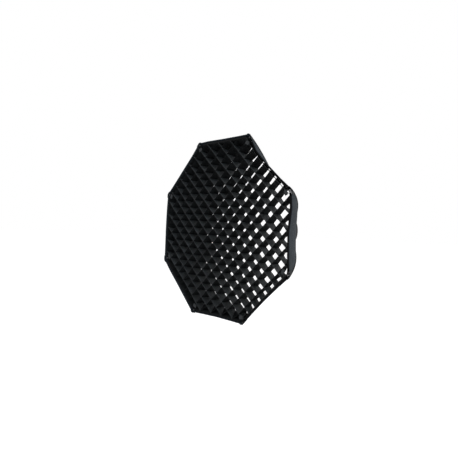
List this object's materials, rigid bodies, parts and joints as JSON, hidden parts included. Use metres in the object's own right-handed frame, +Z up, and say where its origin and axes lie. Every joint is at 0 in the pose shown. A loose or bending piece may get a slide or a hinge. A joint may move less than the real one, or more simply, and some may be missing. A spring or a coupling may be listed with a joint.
{
  "type": "octabox",
  "caption": "Folding octagonal light softbox with hinged bowed ribs, black cloth shell, white front diffuser, deep cloth grid and a bayonet ring for a studio light.",
  "frame": {"origin": "centre of the light opening, in the plane of the seat that meets the light", "axes": "+Z up, the lit front faces -Y, +Y points into the studio light"},
  "size_m": [0.8314, 0.479, 0.8314],
  "materials": {
    "hub_casting": "cast, satin black powder coat",
    "mount_alloy": "machined, satin",
    "screw_steel": "zinc plated",
    "spring_steel": "polished strip",
    "sleeve_aluminium": "anodised, satin",
    "black_plastic": "moulded, fine texture",
    "rod_steel": "black coated spring steel",
    "cap_plastic": "moulded",
    "shell_cloth": "coated black outside, silver inside",
    "cuff_elastic": "elastic ribbed cloth",
    "diffuser_cloth": "white translucent cloth",
    "hem_loop": "loop tape",
    "grid_cloth": "stiffened black cloth",
    "hook_tape": "hook tape",
    "webbing": "grey woven tape"
  },
  "bodies": {
    "mount": {"mount_insert": "mount_alloy"},
    "hub": {"hub_plate": "hub_casting", "retaining_ring": "hub_casting", "retaining_screws": "screw_steel", "sleeve": "sleeve_aluminium", "hinge_pins": "screw_steel", "spring_catches": "spring_steel", "cuff": "cuff_elastic"},
    "lock_screw": {"lock_stud": "screw_steel", "lock_knob": "black_plastic"},
    "runner": {"runner": "black_plastic", "crank_pins": "screw_steel"},
    "rib_1": {"knuckle_1": "black_plastic", "rod_1": "rod_steel", "tip_cap_1": "cap_plastic"},
    "rib_2": {"knuckle_2": "black_plastic", "rod_2": "rod_steel", "tip_cap_2": "cap_plastic"},
    "rib_3": {"knuckle_3": "black_plastic", "rod_3": "rod_steel", "tip_cap_3": "cap_plastic"},
    "rib_4": {"knuckle_4": "black_plastic", "rod_4": "rod_steel", "tip_cap_4": "cap_plastic"},
    "rib_5": {"knuckle_5": "black_plastic", "rod_5": "rod_steel", "tip_cap_5": "cap_plastic"},
    "rib_6": {"knuckle_6": "black_plastic", "rod_6": "rod_steel", "tip_cap_6": "cap_plastic"},
    "rib_7": {"knuckle_7": "black_plastic", "rod_7": "rod_steel", "tip_cap_7": "cap_plastic"},
    "rib_8": {"knuckle_8": "black_plastic", "rod_8": "rod_steel", "tip_cap_8": "cap_plastic"},
    "gore_1_a": {"shell_1_a": "shell_cloth"},
    "gore_1_b": {"shell_1_b": "shell_cloth"},
    "gore_2_a": {"shell_2_a": "shell_cloth"},
    "gore_2_b": {"shell_2_b": "shell_cloth"},
    "gore_3_a": {"shell_3_a": "shell_cloth"},
    "gore_3_b": {"shell_3_b": "shell_cloth"},
    "gore_4_a": {"shell_4_a": "shell_cloth"},
    "gore_4_b": {"shell_4_b": "shell_cloth"},
    "gore_5_a": {"shell_5_a": "shell_cloth"},
    "gore_5_b": {"shell_5_b": "shell_cloth"},
    "gore_6_a": {"shell_6_a": "shell_cloth"},
    "gore_6_b": {"shell_6_b": "shell_cloth"},
    "gore_7_a": {"shell_7_a": "shell_cloth"},
    "gore_7_b": {"shell_7_b": "shell_cloth"},
    "gore_8_a": {"shell_8_a": "shell_cloth"},
    "gore_8_b": {"shell_8_b": "shell_cloth"},
    "diffuser": {"diffuser_sheet": "diffuser_cloth", "diffuser_hem": "hem_loop"},
    "grid": {"grid_border": "grid_cloth", "grid_rising_strips": "grid_cloth", "grid_falling_strips": "grid_cloth", "grid_hook_strips": "hook_tape", "grid_corner_tabs": "webbing"}
  },
  "joints": [
    {"name": "box_turn", "type": "hinge", "parent": "mount", "child": "hub", "pos_m": [0, -0.015, 0], "axis": [0, 1, 0], "continuous": true},
    {"name": "lock_screw_turn", "type": "hinge", "parent": "hub", "child": "lock_screw", "pos_m": [0, -0.008, -0.09], "axis": [0, 0, -1], "range_deg": [0, 540]},
    {"name": "rib_1_fold", "type": "hinge", "parent": "hub", "child": "rib_1", "pos_m": [0.08315, -0.04, 0.03444], "axis": [0.3827, 0, -0.9239], "range_deg": [0, 40], "deforming": ["spring_catches", "shell_1_a", "shell_1_b", "shell_2_a", "shell_2_b", "shell_3_a", "shell_3_b", "shell_4_a", "shell_4_b", "shell_5_a", "shell_5_b", "shell_6_a", "shell_6_b", "shell_7_a", "shell_7_b", "shell_8_a", "shell_8_b", "cuff"]},
    {"name": "rib_2_fold", "type": "hinge", "parent": "hub", "child": "rib_2", "pos_m": [0.03444, -0.04, 0.08315], "axis": [0.9239, 0, -0.3827], "range_deg": [0, 40]},
    {"name": "rib_3_fold", "type": "hinge", "parent": "hub", "child": "rib_3", "pos_m": [-0.03444, -0.04, 0.08315], "axis": [0.9239, 0, 0.3827], "range_deg": [0, 40]},
    {"name": "rib_4_fold", "type": "hinge", "parent": "hub", "child": "rib_4", "pos_m": [-0.08315, -0.04, 0.03444], "axis": [0.3827, 0, 0.9239], "range_deg": [0, 40]},
    {"name": "rib_5_fold", "type": "hinge", "parent": "hub", "child": "rib_5", "pos_m": [-0.08315, -0.04, -0.03444], "axis": [-0.3827, 0, 0.9239], "range_deg": [0, 40]},
    {"name": "rib_6_fold", "type": "hinge", "parent": "hub", "child": "rib_6", "pos_m": [-0.03444, -0.04, -0.08315], "axis": [-0.9239, 0, 0.3827], "range_deg": [0, 40]},
    {"name": "rib_7_fold", "type": "hinge", "parent": "hub", "child": "rib_7", "pos_m": [0.03444, -0.04, -0.08315], "axis": [-0.9239, 0, -0.3827], "range_deg": [0, 40]},
    {"name": "rib_8_fold", "type": "hinge", "parent": "hub", "child": "rib_8", "pos_m": [0.08315, -0.04, -0.03444], "axis": [-0.3827, 0, -0.9239], "range_deg": [0, 40]},
    {"name": "gore_1_a_fold", "type": "hinge", "parent": "rib_1", "child": "gore_1_a", "pos_m": [0.08315, -0.04, 0.03444], "axis": [-0.589, 0.7704, -0.244], "range_deg": [0, 79.2]},
    {"name": "gore_1_b_fold", "type": "hinge", "parent": "rib_2", "child": "gore_1_b", "pos_m": [0.03444, -0.04, 0.08315], "axis": [0.244, -0.7704, 0.589], "range_deg": [0, 79.2]},
    {"name": "gore_2_a_fold", "type": "hinge", "parent": "rib_2", "child": "gore_2_a", "pos_m": [0.03444, -0.04, 0.08315], "axis": [-0.244, 0.7704, -0.589], "range_deg": [0, 79.2]},
    {"name": "gore_2_b_fold", "type": "hinge", "parent": "rib_3", "child": "gore_2_b", "pos_m": [-0.03444, -0.04, 0.08315], "axis": [-0.244, -0.7704, 0.589], "range_deg": [0, 79.2]},
    {"name": "gore_3_a_fold", "type": "hinge", "parent": "rib_3", "child": "gore_3_a", "pos_m": [-0.03444, -0.04, 0.08315], "axis": [0.244, 0.7704, -0.589], "range_deg": [0, 79.2]},
    {"name": "gore_3_b_fold", "type": "hinge", "parent": "rib_4", "child": "gore_3_b", "pos_m": [-0.08315, -0.04, 0.03444], "axis": [-0.589, -0.7704, 0.244], "range_deg": [0, 79.2]},
    {"name": "gore_4_a_fold", "type": "hinge", "parent": "rib_4", "child": "gore_4_a", "pos_m": [-0.08315, -0.04, 0.03444], "axis": [0.589, 0.7704, -0.244], "range_deg": [0, 79.2]},
    {"name": "gore_4_b_fold", "type": "hinge", "parent": "rib_5", "child": "gore_4_b", "pos_m": [-0.08315, -0.04, -0.03444], "axis": [-0.589, -0.7704, -0.244], "range_deg": [0, 79.2]},
    {"name": "gore_5_a_fold", "type": "hinge", "parent": "rib_5", "child": "gore_5_a", "pos_m": [-0.08315, -0.04, -0.03444], "axis": [0.589, 0.7704, 0.244], "range_deg": [0, 79.2]},
    {"name": "gore_5_b_fold", "type": "hinge", "parent": "rib_6", "child": "gore_5_b", "pos_m": [-0.03444, -0.04, -0.08315], "axis": [-0.244, -0.7704, -0.589], "range_deg": [0, 79.2]},
    {"name": "gore_6_a_fold", "type": "hinge", "parent": "rib_6", "child": "gore_6_a", "pos_m": [-0.03444, -0.04, -0.08315], "axis": [0.244, 0.7704, 0.589], "range_deg": [0, 79.2]},
    {"name": "gore_6_b_fold", "type": "hinge", "parent": "rib_7", "child": "gore_6_b", "pos_m": [0.03444, -0.04, -0.08315], "axis": [0.244, -0.7704, -0.589], "range_deg": [0, 79.2]},
    {"name": "gore_7_a_fold", "type": "hinge", "parent": "rib_7", "child": "gore_7_a", "pos_m": [0.03444, -0.04, -0.08315], "axis": [-0.244, 0.7704, 0.589], "range_deg": [0, 79.2]},
    {"name": "gore_7_b_fold", "type": "hinge", "parent": "rib_8", "child": "gore_7_b", "pos_m": [0.08315, -0.04, -0.03444], "axis": [0.589, -0.7704, -0.244], "range_deg": [0, 79.2]},
    {"name": "gore_8_a_fold", "type": "hinge", "parent": "rib_8", "child": "gore_8_a", "pos_m": [0.08315, -0.04, -0.03444], "axis": [-0.589, 0.7704, 0.244], "range_deg": [0, 79.2]},
    {"name": "gore_8_b_fold", "type": "hinge", "parent": "rib_1", "child": "gore_8_b", "pos_m": [0.08315, -0.04, 0.03444], "axis": [0.589, -0.7704, 0.244], "range_deg": [0, 79.2]},
    {"name": "runner_slide", "type": "slide", "parent": "hub", "child": "runner", "axis": [0, 1, 0], "range_m": [0, 0.0168]},
    {"name": "diffuser_lift", "type": "slide", "parent": "hub", "child": "diffuser", "axis": [0, -1, 0], "range_m": [0, 0.86]},
    {"name": "grid_lift", "type": "slide", "parent": "diffuser", "child": "grid", "axis": [0, -1, 0], "range_m": [0, 0.12]}
  ],
  "couplings": [
    {"joint": "rib_2_fold", "follows": "rib_1_fold", "ratio": 1},
    {"joint": "rib_3_fold", "follows": "rib_1_fold", "ratio": 1},
    {"joint": "rib_4_fold", "follows": "rib_1_fold", "ratio": 1},
    {"joint": "rib_5_fold", "follows": "rib_1_fold", "ratio": 1},
    {"joint": "rib_6_fold", "follows": "rib_1_fold", "ratio": 1},
    {"joint": "rib_7_fold", "follows": "rib_1_fold", "ratio": 1},
    {"joint": "rib_8_fold", "follows": "rib_1_fold", "ratio": 1},
    {"joint": "gore_1_a_fold", "follows": "rib_1_fold", "ratio": 1.9674},
    {"joint": "gore_1_b_fold", "follows": "rib_1_fold", "ratio": 1.9674},
    {"joint": "gore_2_a_fold", "follows": "rib_1_fold", "ratio": 1.9674},
    {"joint": "gore_2_b_fold", "follows": "rib_1_fold", "ratio": 1.9674},
    {"joint": "gore_3_a_fold", "follows": "rib_1_fold", "ratio": 1.9674},
    {"joint": "gore_3_b_fold", "follows": "rib_1_fold", "ratio": 1.9674},
    {"joint": "gore_4_a_fold", "follows": "rib_1_fold", "ratio": 1.9674},
    {"joint": "gore_4_b_fold", "follows": "rib_1_fold", "ratio": 1.9674},
    {"joint": "gore_5_a_fold", "follows": "rib_1_fold", "ratio": 1.9674},
    {"joint": "gore_5_b_fold", "follows": "rib_1_fold", "ratio": 1.9674},
    {"joint": "gore_6_a_fold", "follows": "rib_1_fold", "ratio": 1.9674},
    {"joint": "gore_6_b_fold", "follows": "rib_1_fold", "ratio": 1.9674},
    {"joint": "gore_7_a_fold", "follows": "rib_1_fold", "ratio": 1.9674},
    {"joint": "gore_7_b_fold", "follows": "rib_1_fold", "ratio": 1.9674},
    {"joint": "gore_8_a_fold", "follows": "rib_1_fold", "ratio": 1.9674},
    {"joint": "gore_8_b_fold", "follows": "rib_1_fold", "ratio": 1.9674},
    {"joint": "runner_slide", "follows": "rib_1_fold", "m_per_rad": 0.023513},
    {"joint": "diffuser_lift", "follows": "rib_1_fold", "m_per_rad": 1.2}
  ]
}
